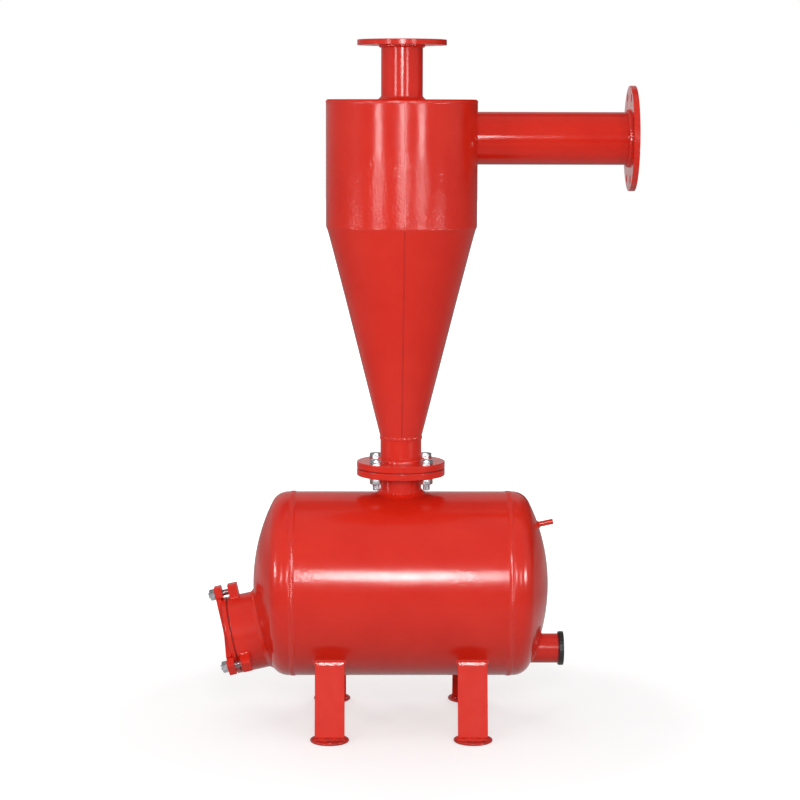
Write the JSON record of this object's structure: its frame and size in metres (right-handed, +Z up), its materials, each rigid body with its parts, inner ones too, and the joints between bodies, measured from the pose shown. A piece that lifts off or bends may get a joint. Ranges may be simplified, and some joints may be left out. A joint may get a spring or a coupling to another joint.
{
  "type": "sand separator",
  "caption": "Upright cyclone with tangential flanged inlet and top outlet, bolted to a lying sand tank with handhole, drain and splayed legs.",
  "frame": {"origin": "on the floor under the cyclone's axis, midway between the four feet", "axes": "+Z up along the cyclone's axis, +X along the tank towards the inlet flange and the drain, -Y to the front"},
  "size_m": [0.9286, 0.453, 1.477],
  "materials": {
    "red_paint": "gloss enamel over welded steel",
    "zinc_steel": "bright zinc plate",
    "gasket_rubber": "dull sheet rubber",
    "black_cap": "satin moulded plastic"
  },
  "bodies": {
    "root": {"outlet_flange": "red_paint", "outlet_pipe": "red_paint", "outlet_pipe_weld": "red_paint", "cyclone_top_plate": "red_paint", "cyclone_shell": "red_paint", "inlet_pipe": "red_paint", "inlet_flange": "red_paint", "cone_ring_weld": "red_paint", "cyclone_cone": "red_paint", "apex_ring_weld": "red_paint", "apex_neck": "red_paint", "upper_joint_flange": "red_paint", "joint_gasket": "gasket_rubber", "lower_joint_flange": "red_paint", "joint_bolts": "zinc_steel", "joint_nuts": "zinc_steel", "tank_neck": "red_paint", "tank_neck_weld": "red_paint", "tank_shell": "red_paint", "tank_head_left": "red_paint", "tank_head_right": "red_paint", "tank_seam_left": "red_paint", "tank_seam_right": "red_paint", "handhole_neck": "red_paint", "handhole_neck_lugs": "red_paint", "handhole_gasket": "gasket_rubber", "handhole_cover": "red_paint", "cover_spider": "red_paint", "handhole_studs": "zinc_steel", "handhole_nuts": "zinc_steel", "drain_stub": "red_paint", "drain_cap": "black_cap", "vent_nipple": "red_paint", "leg_front_left": "red_paint", "leg_front_right": "red_paint", "leg_rear_left": "red_paint", "leg_rear_right": "red_paint", "foot_front_left": "red_paint", "foot_front_right": "red_paint", "foot_rear_left": "red_paint", "foot_rear_right": "red_paint"}
  },
  "joints": []
}
